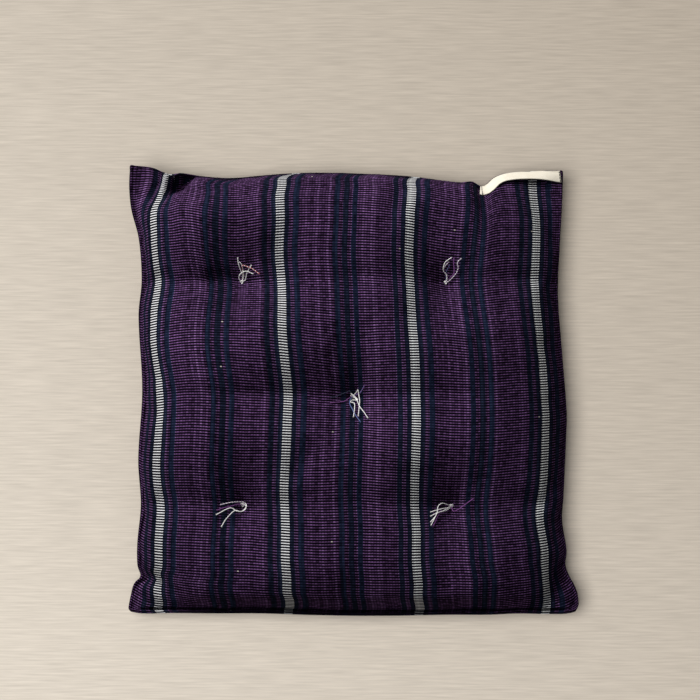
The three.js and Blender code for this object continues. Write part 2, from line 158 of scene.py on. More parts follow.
# How far each white stripe lies left of its even place, at heights up the cloth. The rows were fitted to the
# stripes by another program, rounded, and partly changed afterwards.
SWAY = {
    "height": [0, 8, 20, 34, 43, 52, 61, 76, 109, 142, 191, 234, 283, 327, 387, 436, 452, 470, 497],
    "stripes": [
        [-3, 2, 0, 2, 2.5, 3.5, 1.5, -0.5, -1.5, 1, -2.5, -1, 5.5, 6, 9.5, 2.5, -4, -9, -8],
        [-0.5, 0, -1, -0.5, 1.5, 1.5, 1.5, 2, 1, 2, 0.5, 2, 3.5, 5, 8, -0.5, -5, -13, -15],
        [-2, -1.5, -1, 1.5, 2.5, 2, 2.5, 3, 1.5, 3, 3.5, 3.5, 3.5, 4.5, 6.5, 2, -2.5, -7, -6],
        [0.5, 0.5, 2, 2.5, 1.5, 0, -1, 2, 4.5, 3.5, 5, 6, 5.5, 6, 4.5, 1, 0, -1, -4],
    ],
}
# How far the first white stripe keeps left of the notch above the lower left ear, at a height on the cloth
NOTCH = {"push": 5.0, "at": 52.0, "spread": 7.0, "reach": 28.0}
# How far the tuck in one ear pushes the stripes beside it to the right, around a place on the cloth
TUCK = {"push": 5.0, "at": 62.0, "reach": 30.0, "from": 415.0, "full": 460.0}
RIB_PITCH = 2.76
END_PITCH = 2.9
WHITE, NAVY, INK, PURPLE, PLUM = "white", "navy", "ink", "purple", "plum"
REPEAT = [
    (WHITE, 4.4), (INK, 4.4), (PLUM, 4.0), (NAVY, 6.0), (PURPLE, 35.0),
    (NAVY, 5.0), (PURPLE, 4.2), (INK, 5.7), (PURPLE, 3.5), (NAVY, 4.8),
    (PURPLE, 35.3), (INK, 5.2), (PLUM, 3.9), (INK, 4.6), (WHITE, 4.4),
]

# The places of the two panels in the sheet that materials are baked to
BAKE = {"edge": 0.004, "width": 0.492, "height": 0.992, "back": 0.5}

# The free ends of each tie: the dyes of the plies, and rows of right, up and height over the cloth from the
# knot, all after the same start
CREAM, ASH, VIOLET, BLUE, RED, DARK, BLACK = "cream", "ash", "violet", "blue", "red", "dark", "black"
PALE = (CREAM, CREAM, ASH)
MIXED = (CREAM, VIOLET, ASH)
STRAND_START = (0, 0, 2)
STRANDS = {
    "tie_top_left": [
        (PALE, [(1, 4, 4), (0, 7.8, 5), (-2.5, 14.3, 6), (-3.5, 20.9, 5)]),
        (PALE, [(1.8, 3, 4), (2, 6.8, 5), (0.5, 14.3, 5), (-2, 17, 5)]),
        (PALE, [(-2, 1, 4), (-2.7, 4.5, 5), (0, 7.3, 6), (5, 8.6, 6), (12, 5.8, 4)]),
        (PALE, [(3.6, 1, 4), (5, 6, 5), (7.5, 10.5, 5), (10, 14, 5)]),
        ((CREAM, RED, RED), [(1.4, 7, 4), (1, 13.6, 6), (6, 12.6, 6), (11, 10.6, 5), (18, 5.6, 3)]),
    ],
    "tie_top_right": [
        (MIXED, [(1, 2.5, 4), (0.5, 6.7, 5), (-2, 8.5, 5), (-3, 11, 5), (-0.5, 15, 6), (2.4, 17.8, 5)]),
        (PALE, [(0.6, 5, 4), (-2.6, 9.5, 5), (-3, 12.5, 6), (-1.6, 17, 6), (1.4, 19.6, 6), (5.2, 22, 5)]),
        (
            MIXED,
            [(2.4, 0.2, 4), (7.4, 4.4, 5), (10.8, 8.8, 5), (11.6, 12.9, 6), (10.8, 17, 6), (14.8, 21, 5)],
        ),
        ((VIOLET, VIOLET), [(4, 4, 3), (7.4, 7, 4), (7.6, 12, 5), (7, 17, 5), (7.3, 22, 5)]),
        ((DARK, BLUE), [(0, 6, 3), (0.4, 10, 4), (3.4, 15.6, 4)]),
    ],
    "tie_centre": [
        (
            PALE,
            [(-1.6, 2.2, 5), (3, -2, 7), (5, -5, 7), (0, -4.6, 6), (-2, -7, 6), (2, -9, 6), (0.9, -23, 3)],
        ),
        (PALE, [(4, 3.4, 5), (5.3, 5.4, 5), (6.2, 0, 6), (7, -6, 7), (6.4, -13, 5), (5.6, -22, 3)]),
        (PALE, [(4, -4.5, 7), (6.8, -11.7, 6), (10.8, -17.4, 5), (15.2, -24.5, 3)]),
        ((BLUE, BLUE), [(-3.1, -6.9, 4), (-0.1, -14.8, 4), (3, -21, 4), (8, -28.4, 3)]),
        ((BLUE, VIOLET), [(5, 1.5, 4), (7.6, 2.7, 4), (12, 9.9, 3)]),
        ((DARK, DARK), [(-2.6, 4.4, 3), (-6.6, 3.1, 2), (-12.4, 0.8, 1), (-17, -1.7, 1), (-22.3, -2.7, 1)]),
        ((VIOLET, VIOLET), [(-2.6, -1.6, 3), (-7.5, -5.6, 2), (-11.4, -6.6, 1), (-22.2, -8.2, 1)]),
    ],
    "tie_bottom_left": [
        (MIXED, [(2.6, 1.4, 4), (0.4, 2.4, 5), (-6.5, 2.2, 6), (-13.5, 1, 6), (-21.4, -1, 4)]),
        (PALE, [(3, 1, 4), (3.9, -2.4, 6), (0, -6.8, 6), (-5.6, -6.8, 7), (-12, -4, 6), (-25.4, -11, 3)]),
        (
            PALE,
            [(3.4, -1, 5), (3, -5, 6), (-1.6, -7.4, 6), (-7.5, -6.6, 6), (-15.4, -15, 5), (-20, -22.8, 3)],
        ),
        ((VIOLET, VIOLET), [(-5, 0, 3), (-12.4, -2.4, 2), (-18, -3.6, 1), (-25, -6.4, 1)]),
    ],
    "tie_bottom_right": [
        (PALE, [(-3, -2, 5), (-8.5, -3.4, 6), (-14.5, -5, 6), (-21.4, -7.2, 4)]),
        (
            PALE,
            [(-4.6, 0.8, 5), (-9.5, 1.8, 6), (-13.4, -1, 6), (-14.4, -6, 6)]
            + [(-15.4, -10, 5), (-21.4, -17.2, 3)],
        ),
        (PALE, [(-2, -2.6, 4), (-6, -5.4, 5), (-11, -6.6, 5), (-15, -8, 5), (-21.4, -11.4, 3)]),
        (PALE, [(-4, -3, 5), (-9, -6, 6), (-14.4, -8, 6), (-16.4, -11.6, 5), (-21, -20.6, 3)]),
        ((VIOLET, VIOLET), [(-6, -4, 4), (-13, -9.4, 4), (-16.4, -16.4, 3), (-19.4, -21.8, 2)]),
        ((VIOLET, VIOLET), [(1.4, -5.4, 4), (5.4, -4.6, 4), (11.3, -0.6, 4), (21.2, 6.4, 3)]),
    ],
}
DYE = {
    CREAM: (0.88, 0.86, 0.82, 1.0),
    ASH: (0.62, 0.61, 0.62, 1.0),
    VIOLET: (0.20, 0.05, 0.24, 1.0),
    BLUE: (0.09, 0.13, 0.32, 1.0),
    RED: (0.42, 0.05, 0.06, 1.0),
    DARK: (0.014, 0.018, 0.050, 1.0),
    BLACK: (0.012, 0.010, 0.014, 1.0),
}
THREAD = {"ply": 0.26, "wind": 0.22, "pitch": 3.0, "step": 0.4, "sides": 6, "ease": 4}
# How much of a free end is frayed, how far its plies spread there and how much they thin
FRAY = {"length": 2.6, "spread": 2.2, "thin": 0.45}
KNOT = {"radius": 0.62, "steps": 60, "height": 1.5}
BACK_STITCH = {"length": 7.0, "bow": 1.2, "sink": 0.5, "steps": 24}

# The tape along the top edge: its reach in s, its cut, and how far it tilts up from flat along its length
TAPE = {
    "from": 0.809, "to": 0.992, "width": 12.0, "thickness": 0.7, "inset": 0.8, "stations": 90, "across": 14,
}
TAPE_LENGTH = 81.0
# How far the tape starts over the seam, bellies up, and stays over the cloth, and how often it is eased
TAPE_LIFT = {"start": 0.6, "belly": 0.5, "clear": 0.35, "ease": 3}
TAPE_TILT = {"at": [0, 0.15, 0.4, 0.65, 0.85, 1], "degrees": [30, 38, 43, 40, 28, 6]}
STITCH = {
    "inset": 1.1, "count": 4, "length": 2.5, "radius": 0.42, "out": 0.4, "steps": 8, "sides": 6, "taper": 0.9,
}

# The cloth simulation that settles the cover: its stiffness, pressure, and how much of its motion is kept
SETTLE = {
    "frames": 24, "quality": 6, "mass": 0.3, "stretch": 12.0, "shear": 4.0, "bend": 1.5, "pressure": 3.0,
    "ease": 0.03, "tied": 4.0, "resting": 0.5, "swell_passes": 160, "swell": 0.15, "most": 3.5,
    "sideways": 0.35,
}

# The floor's colours from the lower left of the view to its upper right, in metres and scattered light. Their
# change is a painted falloff of light, brighter at the lower left and dimmer at the upper right.
FLOOR = {
    "side": 6000.0, "low": -0.6, "high": 0.7,
    "low_colour": (0.73, 0.655, 0.557, 1.0), "painted_dim_colour": (0.56, 0.484, 0.393, 1.0),
}
# Each light faces the cushion from a direction, at a distance in metres, and lights only the floor or only
# what lies on it
LIGHTS = {
    "key": {"toward": (-0.92, 0.95, 1.05), "distance": 1.6, "size": 1.2, "power": 40.0, "floor": "EXCLUDE"},
    "floor light": {
        "toward": (-0.33, -0.12, 1), "distance": 3.2, "size": 2.4, "power": 99.0, "floor": "INCLUDE",
    },
}
ROOM = {"colour": (0.96, 0.97, 1.0, 1.0), "strength": 0.19}

# The camera: the plan place under the middle of the view, its tilt towards the bottom edge, its lens, and
# how far it sees, in metres
VIEW = {"x": -2.1, "y": 38.65, "tilt": math.radians(8.0), "distance": 2200.0, "lens": 113.14, "sensor": 36.0}
VIEW_END = 50.0


def smooth_table(at, value, where):
    """A smooth line through a table, with a slope at each row taken from its neighbours."""
    at = np.asarray(at, float)
    value = np.asarray(value, float)
    last = len(at) - 1
    before = np.maximum(np.arange(last + 1) - 1, 0)
    after = np.minimum(np.arange(last + 1) + 1, last)
    slope = (value[after] - value[before]) / (at[after] - at[before])
    i = np.clip(np.searchsorted(at, where, side="right") - 1, 0, last - 1)
    span = at[i + 1] - at[i]
    q = np.clip((where - at[i]) / span, 0, 1)
    return (
        (2 * q**3 - 3 * q**2 + 1) * value[i]
        + (q**3 - 2 * q**2 + q) * span * slope[i]
        + (3 * q**2 - 2 * q**3) * value[i + 1]
        + (q**3 - q**2) * span * slope[i + 1]
    )


def smoothstep(value, low, high):
    q = np.clip((value - low) / (high - low), 0, 1)
    return q * q * (3 - 2 * q)


def soft_noise(x, y, size, seed):
    """Smooth noise from -1 to 1 over the plane, whose bumps are about size across."""
    random = np.random.default_rng(seed)
    grid = random.uniform(-1, 1, (64, 64))
    gx = np.asarray(x, float) / size + 200
    gy = np.asarray(y, float) / size + 200
    ix = np.floor(gx).astype(int)
    iy = np.floor(gy).astype(int)
    fx = smoothstep(gx - ix, 0, 1)
    fy = smoothstep(gy - iy, 0, 1)

    def corner(a, b):
        return grid[(ix + a) % 64, (iy + b) % 64]

    low = corner(0, 0) * (1 - fx) + corner(1, 0) * fx
    high = corner(0, 1) * (1 - fx) + corner(1, 1) * fx
    return low * (1 - fy) + high * fy


def grid_lines(count):
    fine = np.linspace(0, 1, GRID_SUM)
    middle = (fine[:-1] + fine[1:]) / 2
    density = 1 + sum(strength * np.exp(-(((middle - at) / spread) ** 2)) for at, spread, strength in CROWDS)
    total = np.concatenate([[0], np.cumsum(density)])
    return np.interp(np.linspace(0, total[-1], count + 1), total, fine)


def panel_grid():
    """s and t over a panel: the shares across from the left edge and up from the bottom one."""
    line = grid_lines(GRID)
    return np.meshgrid(line, line)


def from_edges(s, t):
    """For each edge its name, the share across from it and the share along it."""
    return [("left", s, t), ("right", 1 - s, t), ("bottom", t, s), ("top", 1 - t, s)]


def reach_in(side, where, distance):
    """How far an edge draws in the cloth at a distance from it."""
    inset = smooth_table(EDGES[side]["at"], EDGES[side]["inset"], where)
    shared = DRAW_IN * np.sqrt(np.clip(np.sin(math.pi * where), 0, 1))
    far = np.maximum(0, 1 - 2 * distance)
    return shared * far + (inset - shared) * np.exp(-((distance / EDGE_REACH) ** 2))


def from_corners(s, t, key):
    c = CORNERS
    low = (1 - s) * c["bottom_left"][key] + s * c["bottom_right"][key]
    high = (1 - s) * c["top_left"][key] + s * c["top_right"][key]
    return (1 - t) * low + t * high


def rounded(s, t):
    """s and t, with the corners of their square rounded off."""
    for name, corner in CORNERS.items():
        share = corner["round"] / SIDE
        top = name.startswith("top")
        right = name.endswith("right")
        u = 1 - (1 - s if right else s) / share
        v = 1 - (1 - t if top else t) / share
        inside = (u > 0) & (v > 0)
        across = (1 - u * np.sqrt(np.maximum(1 - v**2 / 2, 0))) * share
        up = (1 - v * np.sqrt(np.maximum(1 - u**2 / 2, 0))) * share
        s = np.where(inside, 1 - across if right else across, s)
        t = np.where(inside, 1 - up if top else up, t)
    return s, t


def plan(s, t):
    """Where a point of a panel lies, seen from above."""
    s, t = rounded(s, t)
    inward = {side: reach_in(side, along, share) for side, share, along in from_edges(s, t)}
    x = from_corners(s, t, "x") + inward["left"] - inward["right"]
    y = from_corners(s, t, "y") + inward["bottom"] - inward["top"]
    return x, y


def fullness(q, low, high, roundness=EDGE_ROUNDNESS):
    """How full the crown is across from the edge called low to the one called high."""
    rim = {}
    for side in (low, high):
        clear = GROOVE["clear"] * GROOVE["width"] if GROOVE[side] else 0
        rim[side] = (LIP[side] + clear) / SIDE
    q = np.clip((q - rim[low]) / (1 - rim[low] - rim[high]), 0, 1)
    return np.clip(1 - np.abs(2 * q - 1) ** CROWN_FLATNESS, 0, 1) ** roundness


def lip_height(s, t):
    """How far the lip of the seam stands out on each side of its middle."""
    q = np.ones_like(s)
    for side, share, _ in from_edges(s, t):
        q = np.minimum(q, share * SIDE / LIP[side])
    return LIP["half"] * np.sqrt(1 - (2 * q - 1) ** 2)


def groove_depth(s, t):
    """How deep the groove behind the lip is sunk on each side of the seam."""
    depth = np.zeros_like(s)
    for side, share, along in from_edges(s, t):
        q = np.clip((share * SIDE - GROOVE["start"] * LIP[side]) / GROOVE["width"], 0, 1)
        to_corner = SIDE * np.minimum(along, 1 - along)
        opened = smoothstep(to_corner, GROOVE["from"], GROOVE["full"])
        depth = np.maximum(depth, GROOVE[side] * np.sin(math.pi * q) ** 2 * opened)
    return depth


def seam_height(s, t):
    """The height of the seam, which each corner lifts or lowers near it."""
    lift = 0
    for name, corner in CORNERS.items():
        across = 1 - s if name.endswith("right") else s
        up = 1 - t if name.startswith("top") else t
        near = np.clip(1 - across / CORNER_FADE, 0, 1) ** 2 * np.clip(1 - up / CORNER_FADE, 0, 1) ** 2
        lift = lift + near * corner["lift"]
    return SEAM_HEIGHT + lift


def ears(x, y):
    """The share of the crown that the flat ears leave."""
    share = np.ones_like(x)
    for name, ear in EARS.items():
        r = np.hypot(x - CORNERS[name]["x"], y - CORNERS[name]["y"])
        share = share * (1 - ear["flat"] * np.exp(-((r / ear["reach"]) ** ear["end"])))
    return share


def distance_to(tie, x, y):
    """The distance from a tie in plan, rounded off at the tie itself."""
    return np.sqrt((x - tie["x"]) ** 2 + (y - tie["y"]) ** 2 + DIMPLE_ROUND**2) - DIMPLE_ROUND


def valley(v, x, y):
    """The share of the crown that a valley between ties takes away."""
    off = y - v["y"]
    reach = np.where(off > 0, v["above"], v["below"])
    across = np.exp(-(np.sqrt(off**2 + VALLEY_ROUND**2) - VALLEY_ROUND) / reach)
    start = smoothstep(x - v["from_x"], -VALLEY_END, VALLEY_END)
    stop = smoothstep(v["to_x"] - x, -VALLEY_END, VALLEY_END)
    return v["pull"] * across * start * stop


def fold(x, y, start, end, depth, width):
    """How deep the cloth is folded, from start to end."""
    dx = end[0] - start[0]
    dy = end[1] - start[1]
    length = math.hypot(dx, dy)
    along = ((x - start[0]) * dx + (y - start[1]) * dy) / length
    across = ((x - start[0]) * dy - (y - start[1]) * dx) / length
    beyond = np.maximum(0, np.maximum(-along, along - length))
    fade = 1 - FOLD_FADE * np.clip(along / length, 0, 1)
    return depth * fade * np.exp(-((across / width) ** 2) - (beyond / width) ** 2)


def face_height(s, t):
    x, y = plan(s, t)
    slack = SLACK["roundness"] * smoothstep(s, SLACK["from"], SLACK["full"])
    slack = slack * smoothstep(t, SLACK["up_from"], SLACK["up_full"])
    foot = 1 - FOOT["bottom"] * (1 - smoothstep(t * SIDE, FOOT["from"], FOOT["width"]))
    foot = foot * (1 - FOOT["right"] * (1 - smoothstep((1 - s) * SIDE, FOOT["from"], FOOT["width"])))
    across = np.where(s > 0.5, RIGHT_ROUNDNESS, EDGE_ROUNDNESS)
    full = fullness(s, "left", "right", across) * fullness(t, "bottom", "top", EDGE_ROUNDNESS + slack) * foot
    crown = FACE_RISE * full * ears(x, y)
    for tie in TIES:
        crown = crown * (1 - tie["pull"] * np.exp(-distance_to(tie, x, y) / tie["reach"]))
    for v in VALLEYS:
        crown = crown * (1 - valley(v, x, y))
    folds = sum(fold(x, y, *shape) for _, *shape in FOLDS) * np.minimum(1, full / FOLD_FULL)
    rim = lip_height(s, t) - groove_depth(s, t)
    return seam_height(s, t) + rim + np.maximum(-crown, crown - folds)


def back_height(s, t):
    x, y = plan(s, t)
    rim = lip_height(s, t) + GROOVE["back"] * groove_depth(s, t)
    full = fullness(s, "left", "right") * fullness(t, "bottom", "top")
    free = seam_height(s, t) - rim - BACK_DROP * full * ears(x, y)
    k = FLOOR_BLEND
    settled = np.where(free > k, free, np.where(free < -k, 0, (free + k) ** 2 / (4 * k)))
    lifted = [np.clip(1 - distance_to(tie, x, y) / BACK_DIMPLE["reach"], 0, 1) ** 2 for tie in TIES]
    return settled + BACK_DIMPLE["rise"] * np.maximum.reduce(lifted)


def length_share(points):
    """Each point's share of its row's length, eased between the rows, as a weave can't shear sharply."""
    step = np.linalg.norm(np.diff(points, axis=1), axis=2)
    share = np.concatenate([np.zeros((len(points), 1)), np.cumsum(step, axis=1)], axis=1)
    share /= share[:, -1:]
    for _ in range(CLOTH_EASE):
        padded = np.concatenate([share[:1], share, share[-1:]])
        share = (padded[:-2] + 2 * share + padded[2:]) / 4
    return share


def cloth_coordinates(points):
    """Where each point of a panel lies on the flat cloth, in millimetres from the first white stripe and the
    bottom, and as shares of the cloth's width and height."""
    across = length_share(points)
    up = length_share(points.transpose(1, 0, 2)).T
    left = MARGIN_LEFT["bottom"] + (MARGIN_LEFT["top"] - MARGIN_LEFT["bottom"]) * up
    right = smooth_table(MARGIN_RIGHT["height"], MARGIN_RIGHT["width"], up * CLOTH_HEIGHT)
    width = left + 3 * STRIPE_PITCH + right
    u = across * width - left
    v = up * CLOTH_HEIGHT
    # The sway of the four white stripes, spread over the cloth between them
    knots = [-left] + [np.full_like(u, k * STRIPE_PITCH) for k in range(4)] + [width - left]
    still = np.zeros_like(u)
    sways = [still] + [smooth_table(SWAY["height"], row, v) for row in SWAY["stripes"]] + [still]
    sway = still
    for k in range(len(knots) - 1):
        q = (u - knots[k]) / (knots[k + 1] - knots[k])
        here = (q >= 0) & (q <= 1)
        sway = np.where(here, sways[k] + (sways[k + 1] - sways[k]) * smoothstep(q, 0, 1), sway)
    tuck = smoothstep(v, TUCK["from"], TUCK["full"]) * np.exp(-(((u - TUCK["at"]) / TUCK["reach"]) ** 2))
    notch = np.exp(-((u / NOTCH["reach"]) ** 2) - ((v - NOTCH["at"]) / NOTCH["spread"]) ** 2)
    return u + sway + NOTCH["push"] * notch - TUCK["push"] * tuck, v, across, up


def normals(points):
    """The way out of a panel at each of its points, for rows that run up and columns that run right."""
    across = np.gradient(points, axis=1)
    up = np.gradient(points, axis=0)
    out = np.cross(across, up)
    return out / np.maximum(np.linalg.norm(out, axis=2, keepdims=True), 1e-9)


def gathers(s, t, seed):
    """How far the cloth stands out behind the lip of the seam, where the stitches gather it."""
    total = np.zeros_like(s)
    for k, (_, share, along) in enumerate(from_edges(s, t)):
        distance = np.maximum(share * SIDE - LIP["left"], 0)
        wave = 0
        for i, size in enumerate(GATHER["sizes"]):
            wave = wave + soft_noise(along * SIDE, 0 * along, size, seed + 10 * k + i)
        total = total + wave * (1 - np.exp(-distance / GATHER["rise"])) * np.exp(-distance / GATHER["reach"])
    return GATHER["height"] * total


def smooth_grid(grid, passes):
    """A grid eased by its neighbours, with its border kept."""
    for _ in range(passes):
        inner = grid[1:-1, 1:-1]
        around = grid[:-2, 1:-1] + grid[2:, 1:-1] + grid[1:-1, :-2] + grid[1:-1, 2:]
        grid = grid.copy()
        grid[1:-1, 1:-1] = (4 * inner + around) / 8
    return grid


def refine(grid):
    """A grid with a new line halfway between each two, on a smooth curve through its neighbours."""
    for _ in range(2):
        padded = np.concatenate([2 * grid[:1] - grid[1:2], grid, 2 * grid[-1:] - grid[-2:-1]])
        between = (9 * (padded[1:-2] + padded[2:-1]) - padded[:-3] - padded[3:]) / 16
        finer = np.empty((2 * len(grid) - 1,) + grid.shape[1:])
        finer[0::2] = grid
        finer[1::2] = between
        grid = finer.swapaxes(0, 1)
    return grid


def grid_quads(index, flip=False):
    """The quads between the points of a grid, turned over when flipped."""
    corners = [index[:-1, :-1], index[:-1, 1:], index[1:, 1:], index[1:, :-1]]
    return np.stack(corners[::-1] if flip else corners, -1).reshape(-1, 4)


def closed_faces(count):
    """The quads of a face panel and a back panel of count by count points that share their rim, and which of
    the back's points are its own."""
    rim = np.zeros((count, count), bool)
    rim[0, :] = rim[-1, :] = rim[:, 0] = rim[:, -1] = True
    face_index = np.arange(count * count).reshape(count, count)
    back_index = face_index.copy()
    back_index[~rim] = count * count + np.arange((~rim).sum())
    quads = np.concatenate([grid_quads(face_index), grid_quads(back_index, True)])
    return quads, ~rim, face_index, back_index


def settle(face, back):
    """What a cloth simulation adds to the panels: the cover, cut a little large, is blown up between its seam
    and its ties, and wrinkles there."""
    face, back = face[::2, ::2], back[::2, ::2]
    count = len(face)
    quads, own, face_index, back_index = closed_faces(count)
    points = np.concatenate([face.reshape(-1, 3), back[own]])
    cloth = new_mesh("settling", points, quads.tolist())

    fixed = points[:, 2] < SETTLE["resting"]
    fixed[: own.size] |= ~own.ravel()
    for tie in TIES:
        fixed |= np.hypot(points[:, 0] - tie["x"], points[:, 1] - tie["y"]) < SETTLE["tied"]
    held = cloth.vertex_groups.new(name="held")
    held.add(np.flatnonzero(fixed).tolist(), 1.0, "REPLACE")

    modifier = cloth.modifiers.new("settle", "CLOTH")
    cut = modifier.settings
    cut.quality = SETTLE["quality"]
    cut.mass = SETTLE["mass"]
    cut.tension_stiffness = cut.compression_stiffness = SETTLE["stretch"]
    cut.shear_stiffness = SETTLE["shear"]
    cut.bending_stiffness = SETTLE["bend"]
    cut.use_pressure = True
    cut.uniform_pressure_force = SETTLE["pressure"]
    cut.shrink_min = -SETTLE["ease"]
    cut.vertex_group_mass = "held"
    cut.effector_weights.gravity = 0.0
    modifier.collision_settings.use_collision = False
    modifier.point_cache.frame_start = 1
    modifier.point_cache.frame_end = SETTLE["frames"]
    scene = bpy.context.scene
    for step in range(1, SETTLE["frames"] + 1):
        scene.frame_set(step)
    settled = cloth.evaluated_get(bpy.context.evaluated_depsgraph_get()).to_mesh()
    after = np.zeros(len(points) * 3, np.float32)
    settled.vertices.foreach_get("co", after)
    moved = after.reshape(-1, 3) / MM - points
    scene.frame_set(1)
    bpy.data.meshes.remove(cloth.data)

    added = []
    for index in (face_index, back_index):
        move = moved[index]
        swell = smooth_grid(move, SETTLE["swell_passes"])
        move = (move - (1 - SETTLE["swell"]) * swell) * (SETTLE["sideways"], SETTLE["sideways"], 1.0)
        size = np.linalg.norm(move, axis=2, keepdims=True)
        move = move * SETTLE["most"] * np.tanh(size / SETTLE["most"]) / np.maximum(size, 1e-6)
        added.append(refine(smooth_grid(move, 1)))
    return added


def new_mesh(name, points, faces):
    """A smooth mesh in the scene, from points in millimetres."""
    mesh = bpy.data.meshes.new(name)
    mesh.from_pydata([tuple(p) for p in np.asarray(points) * MM], [], faces)
    mesh.polygons.foreach_set("use_smooth", [True] * len(mesh.polygons))
    mesh.update()
    obj = bpy.data.objects.new(name, mesh)
    bpy.context.scene.collection.objects.link(obj)
    return obj


def add_uv(piece, name, places):
    """A UV layer with a place for each loop of a piece."""
    layer = piece.data.uv_layers.new(name=name)
    layer.data.foreach_set("uv", places.astype(np.float32).ravel())


def finish_piece(piece, material, slot, *nodes):
    """Gives a piece its material and the body that it goes with, and hides the solids that it stands for. The
    slot is not used.
    """
    piece.data.materials.append(material)
    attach(piece, "root")
    if nodes:
        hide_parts(*nodes)


def cover_panels():
    """The points of the face and back panels, and the same before simulation and sewing."""
    s, t = panel_grid()
    cut = [np.stack([*plan(s, t), height(s, t)], -1) for height in (face_height, back_height)]
    panels = cut
    panels = [panel + added for panel, added in zip(cut, settle(*cut))]
    sewn = []
    for panel, outward, seed in zip(panels, (1, -1), GATHER["seeds"]):
        panel = panel + (outward * gathers(s, t, seed))[..., None] * normals(panel)
        panel[..., 2] = np.maximum(panel[..., 2], 0)
        sewn.append(panel)
    return sewn, cut


def painted_seam_shadow(s, t):
    """How much painted shadow in the seam's groove darkens each point of a panel."""
    inward = SIDE * np.minimum(np.minimum(s, 1 - s), np.minimum(t, 1 - t))
    shade = np.exp(-((inward / SEAM_SHADOW_REACH["line"]) ** 2))
    soft = SEAM_SHADOW_REACH["soft"]
    middle = smoothstep(s, SEAM_SHADOW_REACH["from"] - soft, SEAM_SHADOW_REACH["from"] + soft)
    middle = middle * (1 - smoothstep(s, SEAM_SHADOW_REACH["to"] - soft, SEAM_SHADOW_REACH["to"] + soft))
    for side, share in (("bottom", t), ("top", 1 - t)):
        shade = np.maximum(shade, middle * np.exp(-((share * SIDE / SEAM_SHADOW_REACH[side]) ** 4)))
    return shade


def build_cover(panels, cut):
    """The cover as one closed mesh: a face panel and a back panel that share the points of their seam."""
    face, back = panels
    quads, own, face_index, _ = closed_faces(GRID + 1)
    cover = new_mesh("cover", np.concatenate([face.reshape(-1, 3), back[own]]), quads.tolist())
    cloth, bake = [], []
    for panel, shift, flip in zip(cut, (0.0, BAKE["back"]), (False, True)):
        loops = grid_quads(face_index, flip).ravel()
        u, v, across, up = cloth_coordinates(panel)
        cloth.append(np.stack([u, v], -1).reshape(-1, 2)[loops])
        across = BAKE["edge"] + BAKE["width"] * across + shift
        up = BAKE["edge"] + BAKE["height"] * up
        bake.append(np.stack([across, up], -1).reshape(-1, 2)[loops])
    add_uv(cover, "cloth", np.concatenate(cloth))
    add_uv(cover, "OFBake", np.concatenate(bake))
    # Painted shadow in the seam's groove, kept on the points as the seam attribute
    seam = painted_seam_shadow(*panel_grid())
    attribute = cover.data.attributes.new("seam", "FLOAT", "POINT")
    attribute.data.foreach_set("value", np.concatenate([seam.ravel(), seam[own]]).astype(np.float32))
    return cover


def height_over(tree, x, y, side=1):
    """The height of the cloth's face at a place in plan, or of its back where side is -1, in millimetres."""
    hit = tree.ray_cast(Vector((x * MM, y * MM, side)), Vector((0, 0, -side)))[0]
    return hit.z / MM


def through(rows, step):
    """A smooth line through rows of points, with a point about every step."""
    rows = np.asarray(rows, float)
    ends = np.concatenate([2 * rows[:1] - rows[1:2], rows, 2 * rows[-1:] - rows[-2:-1]])
    line = []
    for k in range(len(rows) - 1):
        a, b, c, d = ends[k : k + 4]
        count = max(2, int(np.linalg.norm(c - b) / step))
        q = (np.arange(count) / count)[:, None]
        curve = 2 * b + (c - a) * q + (2 * a - 5 * b + 4 * c - d) * q**2 + (3 * b - a - 3 * c + d) * q**3
        line.append(0.5 * curve)
    return np.concatenate(line + [rows[-1:]])


def carried_frames(line):
    """Two directions across a line at each of its points, carried along it without a twist."""
    along = np.gradient(line, axis=0)
    along /= np.linalg.norm(along, axis=1, keepdims=True)
    side = np.zeros_like(line)
    side[0] = np.cross(along[0], (0.3, 0.2, 1.0))
    for k in range(len(line)):
        if k:
            side[k] = side[k - 1]
        side[k] -= side[k].dot(along[k]) * along[k]
        side[k] /= np.linalg.norm(side[k])
    return side, np.cross(along, side)


def tube(line, radii, sides):
    """The points and faces of a closed round tube along a line."""
    side, other = carried_frames(line)
    turn = 2 * np.pi * np.arange(sides) / sides
    ring = np.cos(turn)[None, :, None] * side[:, None] + np.sin(turn)[None, :, None] * other[:, None]
    points = (line[:, None] + radii[:, None, None] * ring).reshape(-1, 3)
    index = np.arange(len(points)).reshape(-1, sides)
    quads = grid_quads(np.column_stack([index, index[:, 0]]))
    return points, quads.tolist() + [index[0, ::-1].tolist(), index[-1].tolist()]


def twisted_thread(line, dyes, frayed):
    """A thread of several twisted plies along a line, which come apart at its free end."""
    side, other = carried_frames(line)
    length = np.concatenate([[0], np.cumsum(np.linalg.norm(np.diff(line, axis=0), axis=1))])
    to_end = length[-1] - length
    open_end = np.clip(1 - to_end / FRAY["length"], 0, 1) ** 2 if frayed else np.zeros_like(length)
    wind = THREAD["wind"] * (1 + FRAY["spread"] * open_end)
    radii = THREAD["ply"] * (1 - FRAY["thin"] * open_end)
    made = []
    for k, dye in enumerate(dyes):
        turn = 2 * np.pi * (length / THREAD["pitch"] + k / len(dyes))
        offset = np.cos(turn)[:, None] * side + np.sin(turn)[:, None] * other
        made.append((*tube(line + wind[:, None] * offset, radii, THREAD["sides"]), dye))
    return made


def knot_line(x, y, z):
    """A closed overhand knot."""
    turn = np.linspace(0, 2 * np.pi, KNOT["steps"])
    ring = [np.sin(turn) + 2 * np.sin(2 * turn), np.cos(turn) - 2 * np.cos(2 * turn), -0.9 * np.sin(3 * turn)]
    return np.array([x, y, z]) + KNOT["radius"] * np.stack(ring, -1)


